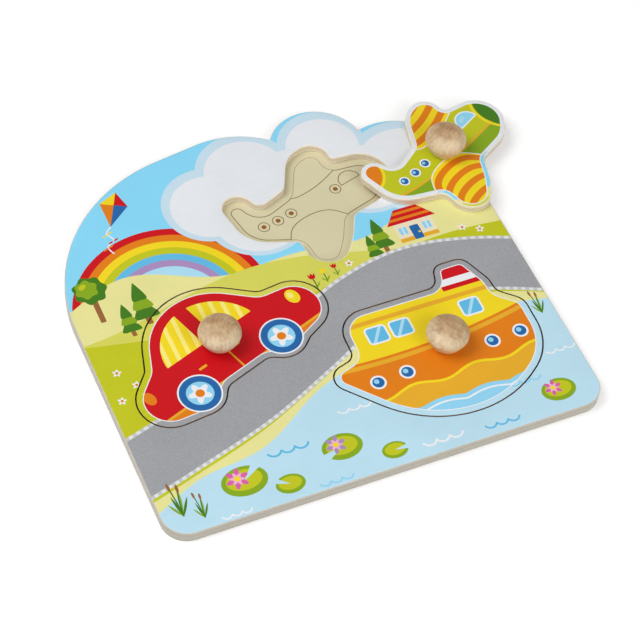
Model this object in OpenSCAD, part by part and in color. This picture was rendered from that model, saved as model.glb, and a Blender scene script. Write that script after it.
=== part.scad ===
// Wooden peg puzzle: a two-layer board with a cloud-shaped top, three cut-outs and a vehicle piece for each,
// lifted by a turned wooden knob. The car and the boat lie in their cut-outs. The airplane has been taken out
// and lies on the face of the board, with its nose over the right edge.
// The origin is the middle of the board's rectangle, on the underside. +X is to the right, +Y is towards the
// cloud and +Z is up. Lengths are in millimetres.

/* [Board] */
// Width of the board
board_w = 280; // [260:1:320]
// Height of the board, from its straight edge to the top of the cloud
board_h = 275; // [255:1:315]
// Thickness of the front panel, which is also the depth of the cut-outs
front_t = 5.3; // [4:0.1:8]
// Thickness of the back panel
back_t = 2.7; // [2:0.1:5]
// Radius of the two bottom corners
corner_r = 16; // [8:1:24]
// Radius of the shoulder on the left
shoulder_r = 110; // [90:1:125]
// How far the top of the shoulder's circle lies below the top of the first lobe
shoulder_drop = 4; // [2:0.5:8]

/* [Cloud lobes] */
// Radius of the first lobe, next to the shoulder
lobe_1_r = 60; // [52:1:68]
// How far the top of the first lobe lies below the top of the board
lobe_1_drop = 2; // [0:0.5:6]
// Radius of the second lobe, the highest one
lobe_2_r = 31; // [27:1:36]
// Radius of the third lobe, which runs into the right edge
lobe_3_r = 42; // [36:1:48]
// How far the top of the third lobe lies below the top of the board
lobe_3_drop = 24.7; // [18:0.1:30]
// Radius at the bottom of the notches between the lobes
notch_r = 1; // [0.5:0.1:2]

/* [Pieces] */
// Length of the car along its own ground line
car_l = 142; // [128:0.5:150]
// Slope of the car on the board, in degrees
car_tilt = 20; // [15:1:24]
// Length of the boat
boat_l = 133.6; // [120:0.1:142]
// Length of the airplane along its fuselage
airplane_l = 109.8; // [98:0.1:118]
// Slope of the airplane's cut-out, in degrees
airplane_tilt = 10; // [5:1:15]
// Further turn of the loose airplane on the face of the board, in degrees
airplane_turn = 14; // [8:1:20]
// Gap between a piece and the wall of its cut-out
fit_gap = 0.8; // [0.4:0.1:1.5]

/* [Knobs] */
// Largest diameter of a knob
knob_d = 26.4; // [22:0.1:30]
// Height of a knob
knob_h = 19.2; // [15:0.1:24]
// Diameter of the knob's foot
knob_foot_d = 14.6; // [11:0.1:18]
// Height of the knob's widest ring above its foot
knob_belly_h = 10.5; // [8:0.1:13]

/* [Screws] */
// Diameter of the screw's thread
screw_d = 3.5; // [3:0.1:4]
// Length of the screw with its head
screw_l = 16; // [14:0.5:18]
// Length of the screw's point
screw_point_l = 3.5; // [2:0.1:5]
// Diameter of the countersunk head
screw_head_d = 7; // [6:0.1:8]
// Height of the countersunk head
screw_head_h = 2.2; // [1.6:0.1:2.6]
// How far the head lies below the piece's underside
screw_sink = 0.3; // [0.1:0.1:0.6]
// Depth that the thread bites into the knob's pilot bore
screw_bite = 0.35; // [0.2:0.05:0.5]
// Clearance of the screw in the piece
screw_clearance = 0.1; // [0.05:0.05:0.2]
// Spare depth of the pilot bore past the screw's point
pilot_spare = 1; // [0.5:0.1:2]
// Width of the arms of the cross recess in the head
cross_w = 1; // [0.7:0.1:1.3]
// Span of the cross recess across the head
cross_span = 4; // [3:0.1:4.5]
// Depth of the cross recess
cross_depth = 1.2; // [0.8:0.1:1.5]

/* [Hidden] */

// Fineness of round things, the largest gap between an arc and its chords, and the overrun of every cut
$fn = 72;
arc_sag = 0.02;
overrun = 1;
// Slack that keeps an arc of no turn from becoming a full one, in degrees
hair_angle = 0.001;

// An outline is a belt that runs anticlockwise round circles. A circle is [x, y, radius]: the belt bulges round
// a positive radius and is hollow round a negative one. Shares are of the piece's length, from the lower left.
// Car: rear wheel, hollow, hollow, front wheel, hollow, front bumper, windscreen foot, roof, rear hollow, rear
car_shares = [
    [0.252, 0.110, 0.110],
    [0.394, -0.004, -0.070],
    [0.570, -0.002, -0.068],
    [0.711, 0.112, 0.112],
    [0.824, -0.036, -0.070],
    [0.858, 0.186, 0.142],
    [0.833, 0.411, -0.072],
    [0.467, 0.247, 0.312],
    [0.100, 0.392, -0.072],
    [0.140, 0.168, 0.140]
];
// Boat: keel, stern, stern rail, hollow, cabin, funnel's two corners, funnel's foot, cabin, hollow, bow
boat_shares = [
    [0.538, 0.533, 0.533],
    [0.698, 0.364, 0.302],
    [0.922, 0.455, 0.079],
    [0.967, 0.609, -0.066],
    [0.790, 0.630, 0.110],
    [0.798, 0.751, 0.057],
    [0.729, 0.754, 0.053],
    [0.607, 0.756, -0.065],
    [0.268, 0.559, 0.131],
    [0.077, 0.495, -0.058],
    [0.069, 0.361, 0.069]
];
// Airplane: fin, tail, wing root, wing tip, leading edge, wing root, chin, nose, far wing root, far wing tip,
// far wing's trailing edge, far wing root, fin's foot
airplane_shares = [
    [0.084, 0.600, 0.082],
    [0.210, 0.485, 0.206],
    [0.213, 0.190, -0.052],
    [0.383, 0.122, 0.122],
    [0.169, 0.427, 0.490],
    [0.674, 0.170, -0.070],
    [0.780, 0.470, 0.215],
    [0.838, 0.455, 0.163],
    [0.792, 0.674, -0.040],
    [0.656, 0.705, 0.098],
    [0.652, 0.611, 0.191],
    [0.349, 0.656, -0.083],
    [0.236, 0.613, -0.068]
];

// Where the knob stands on its piece, as shares of the piece's length
car_knob_shares = [0.483, 0.251];
boat_knob_shares = [0.552, 0.380];
airplane_knob_shares = [0.508, 0.434];

// Where the knobs stand on the board, as shares of its width and height from the lower left
car_place_shares = [0.274, 0.432];
boat_place_shares = [0.731, 0.257];
airplane_cutout_shares = [0.629, 0.740];
airplane_rest_shares = [0.958, 0.759];

// Where the first two lobes stand along the board's width
lobe_1_share = 0.468;
lobe_2_share = 0.696;

// Fullness of the knob's profile below and above its widest ring: 1 is a cone, 2 is a true ellipse
knob_lower_fullness = 1.2;
knob_upper_fullness = 2.15;
knob_steps = 16;

// Levels
face_z = back_t + front_t;
piece_t = front_t;
screw_r = screw_d / 2;
screw_end_z = screw_sink + screw_l;

// Circles of the board, anticlockwise from the lower left corner
lobe_1 = [board_w * lobe_1_share, board_h - lobe_1_drop - lobe_1_r, lobe_1_r];
lobe_2 = [board_w * lobe_2_share, board_h - lobe_2_r, lobe_2_r];
lobe_3 = [board_w - lobe_3_r, board_h - lobe_3_drop - lobe_3_r, lobe_3_r];
shoulder = [shoulder_r, board_h - lobe_1_drop - shoulder_drop - shoulder_r, shoulder_r];
board_circles = [
    [corner_r, corner_r, corner_r],
    [board_w - corner_r, corner_r, corner_r],
    lobe_3,
    notch(lobe_3, lobe_2),
    lobe_2,
    notch(lobe_2, lobe_1),
    lobe_1,
    shoulder
];

// Circles of the pieces, about the foot of the knob
car_circles = about_knob(car_shares, car_knob_shares, car_l);
boat_circles = about_knob(boat_shares, boat_knob_shares, boat_l);
airplane_circles = about_knob(airplane_shares, airplane_knob_shares, airplane_l);

// Table of shares turned into circles, with the knob's foot at the origin
function about_knob(shares, knob_shares, l) =
    [for (s = shares) l * [s.x - knob_shares.x, s.y - knob_shares.y, s.z]];

// Hollow circle that touches two overlapping lobes from outside, on the right of the way from a to b
function notch(a, b) =
    let (
        way = [b.x - a.x, b.y - a.y],
        d = norm(way),
        u = way / d,
        ra = a.z + notch_r,
        rb = b.z + notch_r,
        along = (ra * ra - rb * rb + d * d) / (2 * d),
        aside = sqrt(ra * ra - along * along)
    )
    [a.x + u.x * along + u.y * aside, a.y + u.y * along - u.x * aside, -notch_r];

// Direction, in degrees, of the outward normal of the straight stretch from circle a to circle b
function straight_normal(a, b) =
    let (
        way = [b.x - a.x, b.y - a.y],
        d = norm(way),
        u = way / d,
        lean = max(-1, min(1, (a.z - b.z) / d)),
        n = u * lean + [u.y, -u.x] * sqrt(1 - lean * lean)
    )
    atan2(n.y, n.x);

// Angle from 0 to a full turn
function wrapped(angle) = angle + hair_angle - 360 * floor((angle + hair_angle) / 360) - hair_angle;

// Turn of the belt round a circle: anticlockwise round a bulge, clockwise round a hollow
function belt_turn(from, to, r) = r > 0 ? wrapped(to - from) : -wrapped(from - to);

// Chords that keep within arc_sag of an arc
function chords(r, turn) = max(1, ceil(abs(turn) / (2 * acos(1 - arc_sag / max(abs(r), arc_sag)))));

// Points of the belt round the circles, moved outwards by grow
function belt(circles, grow = 0) =
    let (
        n = len(circles),
        c = [for (k = circles) [k.x, k.y, k.z + grow]],
        normals = [for (i = [0 : n - 1]) straight_normal(c[i], c[(i + 1) % n])]
    )
    [
        for (i = [0 : n - 1])
            let (
                start = normals[(i + n - 1) % n],
                turn = belt_turn(start, normals[i], c[i].z),
                steps = chords(c[i].z, turn)
            )
            for (k = [0 : steps])
                let (angle = start + turn * k / steps)
                [c[i].x + c[i].z * cos(angle), c[i].y + c[i].z * sin(angle)]
    ];

// Half profile of the knob: a foot, a lower stretch that swells to the belly, and a dome
function knob_profile() =
    let (
        foot_r = knob_foot_d / 2,
        belly_r = knob_d / 2,
        low = knob_lower_fullness,
        high = 2 / knob_upper_fullness
    )
    concat(
        [[0, 0]],
        [
            for (k = [0 : knob_steps])
                let (t = k / knob_steps)
                [
                    foot_r + (belly_r - foot_r) * pow(1 - pow(1 - t, low), 1 / low),
                    knob_belly_h * t
                ]
        ],
        [
            for (k = [1 : knob_steps - 1])
                let (angle = 90 * k / knob_steps)
                [
                    belly_r * pow(cos(angle), high),
                    knob_belly_h + (knob_h - knob_belly_h) * pow(sin(angle), high)
                ]
        ],
        [[0, knob_h]]
    );

// Moves to a place on the board, given as shares of its width and height
module on_board(place_shares, tilt) {
    x = board_w * (place_shares.x - 0.5);
    y = board_h * (place_shares.y - 0.5);
    translate([x, y, 0]) rotate(tilt) children();
}

module at_car() { on_board(car_place_shares, car_tilt) children(); }
module at_boat() { on_board(boat_place_shares, 0) children(); }
module at_airplane_cutout() { on_board(airplane_cutout_shares, airplane_tilt) children(); }
module at_airplane() { on_board(airplane_rest_shares, airplane_tilt + airplane_turn) children(); }

// Outline of the whole board
module board_outline() {
    translate([-board_w / 2, -board_h / 2]) polygon(belt(board_circles));
}

// Outline of a cut-out: the piece's outline with the gap round it
module cutout_outline(circles) {
    polygon(belt(circles, fit_gap));
}

// A vehicle piece: its outline, a screw hole on the knob's axis and a countersink in the underside
module piece(circles) {
    hole_r = screw_r + screw_clearance;
    head_r = screw_head_d / 2 + screw_clearance;
    difference() {
        linear_extrude(piece_t) polygon(belt(circles));
        translate([0, 0, -overrun]) cylinder(r = hole_r, h = piece_t + 2 * overrun);
        translate([0, 0, screw_sink]) cylinder(r1 = head_r, r2 = hole_r, h = screw_head_h);
        translate([0, 0, -overrun]) cylinder(r = head_r, h = screw_sink + overrun);
    }
}

// A turned knob with a pilot bore in its foot
module knob() {
    bore_depth = screw_end_z - piece_t + pilot_spare;
    difference() {
        rotate_extrude() polygon(knob_profile());
        translate([0, 0, -overrun]) cylinder(r = screw_r - screw_bite, h = bore_depth + overrun);
    }
}

// A countersunk wood screw, head down, with a cross recess
module screw() {
    shank_top = screw_end_z - screw_point_l;
    head_top = screw_sink + screw_head_h;
    difference() {
        rotate_extrude() polygon([
            [0, screw_sink],
            [screw_head_d / 2, screw_sink],
            [screw_r, head_top],
            [screw_r, shank_top],
            [0, screw_end_z]
        ]);
        for (angle = [0, 90])
            rotate(angle)
                translate([-cross_span / 2, -cross_w / 2, screw_sink - overrun])
                    cube([cross_span, cross_w, cross_depth + overrun]);
    }
}

module front_board() {
    color("skyblue")
        translate([0, 0, back_t])
            linear_extrude(front_t)
                difference() {
                    board_outline();
                    at_car() cutout_outline(car_circles);
                    at_boat() cutout_outline(boat_circles);
                    at_airplane_cutout() cutout_outline(airplane_circles);
                }
}

module back_board() { color("burlywood") linear_extrude(back_t) board_outline(); }

module car_piece() { color("crimson") at_car() translate([0, 0, back_t]) piece(car_circles); }
module car_knob() { color("tan") at_car() translate([0, 0, back_t + piece_t]) knob(); }
module car_screw() { color("silver") at_car() translate([0, 0, back_t]) screw(); }

module boat_piece() { color("orange") at_boat() translate([0, 0, back_t]) piece(boat_circles); }
module boat_knob() { color("tan") at_boat() translate([0, 0, back_t + piece_t]) knob(); }
module boat_screw() { color("silver") at_boat() translate([0, 0, back_t]) screw(); }

module airplane_piece() { color("yellowgreen") at_airplane() translate([0, 0, face_z]) piece(airplane_circles); }
module airplane_knob() { color("tan") at_airplane() translate([0, 0, face_z + piece_t]) knob(); }
module airplane_screw() { color("silver") at_airplane() translate([0, 0, face_z]) screw(); }

front_board();
back_board();
car_piece();
car_knob();
car_screw();
boat_piece();
boat_knob();
boat_screw();
airplane_piece();
airplane_knob();
airplane_screw();
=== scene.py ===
"""Looks of a wooden peg puzzle: printed plywood, turned knobs, screws and a white studio.

Plan outlines and the print are worked out in millimetres in the board's own frame, and become meshes in
metres.
"""

import functools
import math
from collections import namedtuple

import bpy
import numpy as np
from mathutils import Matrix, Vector
from mathutils.geometry import delaunay_2d_cdt


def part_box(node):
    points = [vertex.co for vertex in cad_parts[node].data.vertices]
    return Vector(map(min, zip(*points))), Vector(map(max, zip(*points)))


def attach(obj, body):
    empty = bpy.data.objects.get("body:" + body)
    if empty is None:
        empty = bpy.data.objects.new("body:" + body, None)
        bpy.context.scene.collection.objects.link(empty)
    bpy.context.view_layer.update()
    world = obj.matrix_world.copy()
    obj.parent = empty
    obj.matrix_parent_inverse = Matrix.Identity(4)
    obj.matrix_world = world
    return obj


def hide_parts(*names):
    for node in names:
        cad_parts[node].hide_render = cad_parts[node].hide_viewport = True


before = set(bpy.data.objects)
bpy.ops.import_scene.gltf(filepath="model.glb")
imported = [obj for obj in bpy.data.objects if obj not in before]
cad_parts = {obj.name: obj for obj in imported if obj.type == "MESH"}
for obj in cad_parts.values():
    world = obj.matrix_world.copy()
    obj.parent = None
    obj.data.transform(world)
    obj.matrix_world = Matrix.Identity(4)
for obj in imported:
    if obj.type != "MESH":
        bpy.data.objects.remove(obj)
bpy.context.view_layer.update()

bl_info = {
    "name": "Wooden Peg Puzzle",
    "version": (1, 0, 0),
    "blender": (4, 5, 0),
    "location": "View3D > Sidebar > Puzzle",
    "description": "Dresses the peg puzzle with printed plywood, turned knobs and screws",
    "category": "Object",
}

MM = 0.001
VEHICLES = ("car", "boat", "airplane")

# Order of a slab's materials
# The fourth finish is a narrow saw line, whose walls are painted dark as the shade in the gap
PRINT, UNDERSIDE, SAWN, SHADED_SAW_LINE, SEALED = range(5)

# Points closer than this, in millimetres, are one point
MERGE = 1e-3
# Edges past this angle are sharp
SHARP = math.radians(40)
# Rings of a slab's rounded lip, and of a knob below and above its belly
LIP_RINGS, LOWER_RINGS, UPPER_RINGS = 5, 25, 33

# An ink of the print, its outline and the outlines that it is trimmed to
Layer = namedtuple("Layer", "ink outline trims")


def colour(name, description, red, green, blue):
    """Colour property, written as sRGB from 0 to 255 and kept as linear light."""
    c = np.array([red, green, blue]) / 255
    c = np.where(c <= 0.04045, c / 12.92, ((c + 0.055) / 1.055) ** 2.4)
    return bpy.props.FloatVectorProperty(
        name=name, description=description, default=tuple(c.tolist()), subtype="COLOR", size=3, min=0, max=1,
    )


def spot(name, description, *metres):
    """Place property, written in metres."""
    return bpy.props.FloatVectorProperty(
        name=name, description=description, subtype="TRANSLATION", unit="LENGTH", default=metres,
    )


def number(name, description, default, **settings):
    """Number property."""
    return bpy.props.FloatProperty(name=name, description=description, default=default, **settings)


def length(name, description, millimetres):
    """Length property, written in millimetres."""
    return number(name, description, millimetres * MM, unit="LENGTH", min=0)


def angle(name, description, degrees):
    """Angle property, written in degrees."""
    return number(name, description, math.radians(degrees), subtype="ANGLE")


class PuzzleInks(bpy.types.PropertyGroup):
    """Colours of the print"""

    sky: colour("Sky", "Open sky", 137, 217, 248)
    haze: colour("Haze", "Pale sky and glints on glass", 172, 222, 242)
    cloud: colour("Cloud", "Clouds", 232, 235, 239)
    cloud_shade: colour("Cloud shade", "Rims of the clouds", 200, 224, 238)
    far_hill: colour("Far hill", "Farthest hill and the shore", 233, 228, 152)
    mid_hill: colour("Middle hill", "Hill in the middle", 214, 212, 92)
    hill: colour("Hill", "Nearest hill and the fuselage", 193, 197, 30)
    grass: colour("Grass", "Leaves and shaded greens", 134, 168, 26)
    pine: colour("Pine", "Darkest green", 62, 118, 18)
    lane: colour("Lane", "Surface of the lane", 160, 161, 165)
    kerb: colour("Kerb", "Edging stones of the lane", 226, 227, 226)
    stone: colour("Stone", "Darker edging stones of the lane", 196, 198, 200)
    lake: colour("Lake", "Open water", 189, 225, 241)
    wave: colour("Wave", "Waves and pale blues", 146, 213, 243)
    deep: colour("Deep water", "Strong light blue", 98, 186, 228)
    red: colour("Red", "Car, roof and funnel", 202, 8, 22)
    orange: colour("Orange", "Hull and stripes", 226, 126, 18)
    amber: colour("Amber", "Lighter orange", 231, 172, 42)
    yellow: colour("Yellow", "Cabin and wings", 243, 216, 32)
    lemon: colour("Lemon", "Light on yellow", 250, 236, 128)
    pink: colour("Pink", "Water lilies", 216, 98, 164)
    rose: colour("Rose", "Hearts of the water lilies", 240, 178, 208)
    violet: colour("Violet", "Innermost rainbow stripe and a lily", 170, 140, 190)
    white: colour("White", "Frames and key lines", 238, 241, 244)
    blue: colour("Blue", "Tyres and portholes", 34, 100, 166)
    brown: colour("Brown", "Tree trunks", 150, 98, 52)
    cream: colour("Cream", "House walls", 240, 228, 196)
    floor: colour("Cut-out floor", "Bare ground of the cut-outs", 216, 208, 172)
    line: colour("Line", "Drawn lines in the cut-outs", 122, 94, 48)
    mark: colour("Mark", "Round marks in the cut-outs", 142, 94, 36)


class PuzzleWoods(bpy.types.PropertyGroup):
    """Colours of the bare wood and the metal"""

    # Each glue colour also paints a band of shade at the foot of its sawn wall
    ply_pale: colour("Pale ply", "Outer plies of a sawn edge", 244, 236, 220)
    ply_dark: colour("Dark ply", "Core ply of a sawn edge", 230, 214, 188)
    ply_glue: colour("Glue line", "Joints between the plies of a sawn edge", 196, 168, 132)
    # Painted shade: these dark tones stand in for the shade deep in a narrow saw line
    scorch_pale: colour("Scorched pale ply", "Outer plies of a narrow saw line", 140, 112, 82)
    scorch_dark: colour("Scorched dark ply", "Core ply of a narrow saw line", 124, 96, 68)
    scorch_glue: colour("Scorched glue line", "Joints between the plies of a narrow saw line", 92, 70, 50)
    rim_pale: colour("Rim pale ply", "Outer plies of the board's sealed edge", 204, 198, 184)
    rim_dark: colour("Rim dark ply", "Core ply of the board's sealed edge", 194, 187, 172)
    rim_glue: colour("Rim glue line", "Joints between the plies of the sealed edge", 174, 166, 152)
    veneer: colour("Veneer", "Underside of the plywood", 226, 206, 170)
    veneer_dark: colour("Veneer grain", "Grain lines of the underside", 198, 168, 126)
    beech: colour("Beech", "Pale wood of the knobs", 238, 216, 180)
    beech_dark: colour("Beech rings", "Growth rings of the knobs", 178, 140, 100)
    # The crown tint is end grain, and also painted shade on the knob's far side
    end_grain_and_shade: colour("End grain", "Tint of the crowns, where the fibres are cut across", 196, 173, 148)
    steel: colour("Steel", "Plated screws", 190, 190, 186)


class PuzzleSizes(bpy.types.PropertyGroup):
    """Sizes and turns of the pieces"""

    ease: length("Eased edge", "Radius of the sanded edges", 0.5)
    kerf_ease: length("Eased saw line", "Radius of the edges along the narrow saw lines", 0.25)
    margin: length("Margin", "Print round the car and the boat up to the edge of the piece", 4.2)
    airplane_margin: length("Airplane margin", "Print round the airplane up to the edge of the piece", 3.2)
    key_line: length("Key line", "Width of the white line round a figure", 0.6)
    drawing_margin: length("Drawing margin", "Bare floor round the drawing in a cut-out", 5)
    drawn_line: length("Drawn line", "Width of the lines in the cut-outs", 0.55)
    fit_gap: length("Fit gap", "Gap between a piece and its cut-out", 0.8)
    screw_gap: length("Screw gap", "Gap between a screw and its hole", 0.1)
    car_tilt: angle("Car tilt", "Slope of the car on the board", 20)
    boat_tilt: angle("Boat tilt", "Slope of the boat on the board", 0)
    airplane_tilt: angle("Airplane tilt", "Slope of the airplane's cut-out", 10)
    airplane_turn: angle("Airplane turn", "Further turn of the loose airplane", 14)
    foot: length("Knob foot", "Diameter of a knob's foot", 14.6)
    belly: length("Knob belly", "Height of a knob's widest ring above its foot", 10.5)
    lower_fullness: number("Lower fullness", "Swell of a knob below its belly, 1 for a cone", 1.2, min=0)
    upper_fullness: number("Upper fullness", "Swell of a knob above its belly, 2 for an oval", 2.15, min=0)


class PuzzleStage(bpy.types.PropertyGroup):
    """Camera, lamps and floor"""

    eye: spot("Camera place", "Where the camera stands", -0.38731, -0.74091, 1.06176)
    turn: bpy.props.FloatVectorProperty(
        name="Camera turn", description="Turn of the camera", subtype="EULER",
        default=tuple(map(math.radians, (37.568, -3.881, -23.368))),
    )
    lens: number("Lens", "Focal length on a 36 mm frame, in millimetres", 123.75, unit="CAMERA")
    ambient: number("Ambient", "Light from the sky", 0.25, min=0)
    underlight: number("Underlight", "Light from below, which only the underside sees", 0.7, min=0)
    key: number("Key", "Power of the left lamp", 26, unit="POWER")
    key_place: spot("Key place", "Where the left lamp hangs", -1.1, 0.3, 1.7)
    fill: number("Fill", "Power of the front lamp", 17, unit="POWER")
    fill_place: spot("Fill place", "Where the front lamp hangs", 0.4, -1.5, 1.2)
    lamp: length("Lamp size", "Side of the square lamps", 1400)
    floor: length("Floor", "Side of the floor", 12000)
    floor_drop: length("Floor drop", "Depth of the floor below the puzzle", 0.2)
    floor_lift: number("Floor lift", "Brightness added to the floor as the camera sees it", 0.34, min=0)


def sizes():
    """Sizes of the pieces, as the user has set them."""
    return bpy.context.scene.puzzle_sizes


def woods():
    """Colours of the wood and the metal, as the user has set them."""
    return bpy.context.scene.puzzle_woods


def mm(name):
    """A size of the pieces in millimetres."""
    return getattr(sizes(), name) / MM


# Outlines are closed loops of points in the plane, and lines are open runs of points

def turned(points, degrees):
    """Points turned anticlockwise about the origin."""
    c, s = math.cos(math.radians(degrees)), math.sin(math.radians(degrees))
    return points @ np.array([[c, s], [-s, c]])


def round_angles(sides):
    """Even angles of a full turn."""
    return np.linspace(0, 2 * np.pi, sides, endpoint=False)


def polar(x, y, radius, angles):
    """Points at distances and angles from a middle."""
    return np.column_stack([x + radius * np.cos(angles), y + radius * np.sin(angles)])


def disc(x, y, r, sides=56):
    """Circle round a middle."""
    return polar(x, y, r, round_angles(sides))


def oval(x, y, rx, ry, turn=0):
    """Ellipse: a circle stretched by the two half-axes, turned and moved to its middle."""
    return turned(disc(0, 0, 1) * (rx, ry), turn) + (x, y)


def block(x, y, w, h, corner=0.4, steps=6):
    """Rectangle with round corners: four corner middles, each with a quarter of a circle round it."""
    t = (np.arange(4)[:, None] * np.pi / 2 + np.linspace(0, np.pi / 2, steps)).ravel()
    corners = np.repeat([[1, 1], [-1, 1], [-1, -1], [1, -1]], steps, 0)
    return corners * (w / 2 - corner, h / 2 - corner) + polar(x, y, corner, t)


def through(points, closed=False, steps=12):
    """Smooth curve through points: a cubic on each span whose slope at a point is half the step past it."""
    p = np.array(points, float)
    ends = (p[-1:], p[:2]) if closed else (2 * p[:1] - p[1:2], 2 * p[-1:] - p[-2:-1])
    p = np.concatenate([ends[0], p, ends[1]])
    t = np.linspace(0, 1, steps, endpoint=False)[:, None]
    a, b, c, d = (p[k:len(p) - 3 + k, None] for k in range(4))
    bend, twist = a - 2.5 * b + 2 * c - d / 2, 1.5 * (b - c) + (d - a) / 2
    curve = (b + (c - a) * t / 2 + bend * t**2 + twist * t**3).reshape(-1, 2)
    return curve if closed else np.concatenate([curve, p[-2:-1]])


def arc(x, y, r, start, end, steps=40):
    """Arc of a circle from one angle to another, in degrees."""
    return polar(x, y, r, np.radians(np.linspace(start, end, steps)))


def right_of(steps):
    """Unit normals to the right of steps."""
    return np.column_stack([steps[:, 1], -steps[:, 0]]) / np.linalg.norm(steps, axis=1, keepdims=True)


def mitre(a, b):
    """Step that moves both of two edges out by one: their normals' sum over one more than their product."""
    return (a + b) / (1 + (a * b).sum(1, keepdims=True))


def beside(line, by):
    """Line moved to its right by a distance, along its own normals."""
    return line + by * right_of(np.gradient(line, axis=0))


def ribbon(line, width):
    """Band along a line: the line moved half the width to either side."""
    return np.concatenate([beside(line, width / 2), beside(line, -width / 2)[::-1]])


def under(line, bottom):
    """Area between a line and a level below it."""
    return np.concatenate([[[line[0, 0], bottom], [line[-1, 0], bottom]], line[::-1]])


def grown(outline, by):
    """Outline moved outwards: each point goes along the mitre of its two edges."""
    normal = right_of(np.roll(outline, -1, 0) - outline)
    return outline + by * mitre(normal, np.roll(normal, 1, 0))


def flower(x, y, r, petals, depth, turn=0, sides=72):
    """Rose curve: the radius swings with the cosine of the angle times the count of petals, up to r."""
    t = round_angles(sides)
    return polar(x, y, r * (1 + depth * np.cos(petals * (t - math.radians(turn)))) / (1 + depth), t)


def leaf(x, y, long, wide, turn, steps=16):
    """Leaf: two parabolas that meet at both ends of a straight vein."""
    s = np.linspace(0, 1, steps)
    edge = np.column_stack([long * s, -2 * wide * s * (1 - s)])
    return turned(np.concatenate([edge, edge[-2:0:-1] * (1, -1)]), turn) + (x, y)


def shoelace(outline):
    """Cross product of each point of an outline and the next. Their sum is twice the area inside."""
    x, y = outline.T
    return x * np.roll(y, -1) - y * np.roll(x, -1)


def anticlockwise(outline):
    """The same outline, run anticlockwise: the area inside is above nought."""
    return outline if shoelace(outline).sum() > 0 else outline[::-1]


def plan_middle(outline):
    """Middle of the area inside an outline, by the shoelace sums."""
    cross = shoelace(outline)
    return ((outline + np.roll(outline, -1, 0)) * cross[:, None]).sum(0) / (3 * cross.sum())


def areas(*rows, within=()):
    """Layers of the print from rows of an ink and an outline, all trimmed to the same outlines."""
    return [Layer(ink, outline, within) for ink, outline in rows]


def discs(x, y, **radii):
    """Layers of discs on one middle, from the lowest up, each named by its ink."""
    return areas(*((ink, disc(x, y, r)) for ink, r in radii.items()))


def loops_of(layer):
    """A layer's outline and its trims."""
    return layer.outline, *layer.trims


def placed(layers, degrees, place, size=1):
    """Layers sized and turned about their origin and moved to a place. Shared outlines stay shared."""
    loops = {id(loop): loop for layer in layers for loop in loops_of(layer)}
    moved = {key: turned(size * loop, degrees) + place for key, loop in loops.items()}
    rows = [[moved[id(loop)] for loop in loops_of(layer)] for layer in layers]
    return [Layer(layer.ink, outline, trims) for layer, (outline, *trims) in zip(layers, rows)]


# The picture: a lane between hills and a lake, in millimetres from the middle of the board. Motifs are
# drawn one millimetre in size about their origin, and a place is x, y, the size and what else is needed

SHEET = 320
LANE = through([
    (-160, -92), (-112, -78), (-62, -62), (-14, -40), (28, -19), (70, -10), (112, -17), (160, -36),
])
LANE_WIDTH, KERB_WIDTH, KERB_STONES = 38.5, 2.3, 66
RAINBOW_PLACE, RAINBOW_RADIUS, RAINBOW_STRIPE = (-78, 16), 62, 5
RAINBOW = ("red", "orange", "yellow", "hill", "deep", "violet", "haze")
CLOUD_RIM = 5
CLOUD_PUFFS = [
    (-29, 85, 30), (3, 103, 32), (-4, 68, 34), (30, 84, 34), (58, 107, 29), (74, 74, 32), (103, 73, 38),
    (130, 60, 24),
]
TREES = [(-122, 30, 22)]
PINES = [(-96, 12, 26), (-108, 6, 20), (62, 13, 22), (54, 9, 16)]
HOUSES = [(86, 14, 26)]
DAISIES = [(x, y, 2.8) for x, y in ((-128, -18), (-120, -30), (-132, -38), (124, 8), (114, 13), (35, 11))]
KITES = [(-86, 103, 21, -26)]
LILIES = [
    (-86, -115, 14, 40, "pink"), (-62, -126, 9, 150, None), (-24, -113, 12.5, 200, "violet"),
    (114, -121, 11, 120, "pink"), (4, -126, 8, 0, None),
]
TULIPS = [(9, -1, 9, "red"), (17, 2, 8, "yellow"), (25, 4.5, 7, "red")]
REEDS = [(-127, -125, 17), (-116, -130, 13), (131, -66, 13)]
RIPPLES = [
    (-54, -101, 8.5, "deep"), (-6, -88, 7, "white"), (34, -126, 8.5, "white"), (-98, -132, 6, "white"),
    (129, -92, 6.5, "white"), (72, -128, 7.5, "deep"), (98, -106, 7, "wave"), (-36, -131, 7, "wave"),
]


def motifs(draw, places):
    """Layers of a motif at each of its places."""
    return [layer for x, y, size, *more in places for layer in placed(draw(*more), 0, (x, y), size)]


def round_tree():
    """Round tree: a trunk, a scalloped crown and two lighter patches."""
    return areas(
        ("brown", block(0, 0, 0.16, 0.9, 0.03)),
        ("pine", flower(0, 0.72, 0.5, 7, 0.08)),
        ("grass", flower(-0.08, 0.78, 0.34, 6, 0.1, 20)),
        ("hill", oval(-0.16, 0.9, 0.12, 0.08, 30)),
    )


def pine_tree():
    """Pointed tree: a trunk and three skirts, each a smooth curve through five points."""
    layers = areas(("brown", block(0, 0.05, 0.14, 0.3, 0.02)))
    for ink, half, hem in (("pine", 0.31, 0.14), ("grass", 0.25, 0.42), ("pine", 0.18, 0.68)):
        skirt = [(-half, hem), (0, hem - 0.05), (half, hem), (0.03, hem + 0.44), (-0.03, hem + 0.44)]
        layers += areas((ink, through(skirt, True, 6)))
    return layers


def tulip(ink):
    """Tulip: a stalk, two leaves and a cup with three points."""
    rim = [(0.26, 1.38), (0.12, 1.24), (0, 1.42), (-0.12, 1.24), (-0.26, 1.38)]
    cup = [(-0.22, 1), (0, 0.9), (0.22, 1), *rim]
    return areas(
        ("pine", ribbon(through([(0, 0), (0.03, 0.5), (0, 1)]), 0.09)),
        ("grass", leaf(0, 0.1, 0.62, 0.13, 52)),
        ("grass", leaf(0, 0.1, 0.55, 0.13, 128)),
        (ink, through(cup, True, 6)),
    )


def daisy():
    """Daisy: five petals and a heart."""
    return areas(("white", flower(0, 0, 1, 5, 0.35))) + discs(0, 0, orange=0.34)


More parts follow.
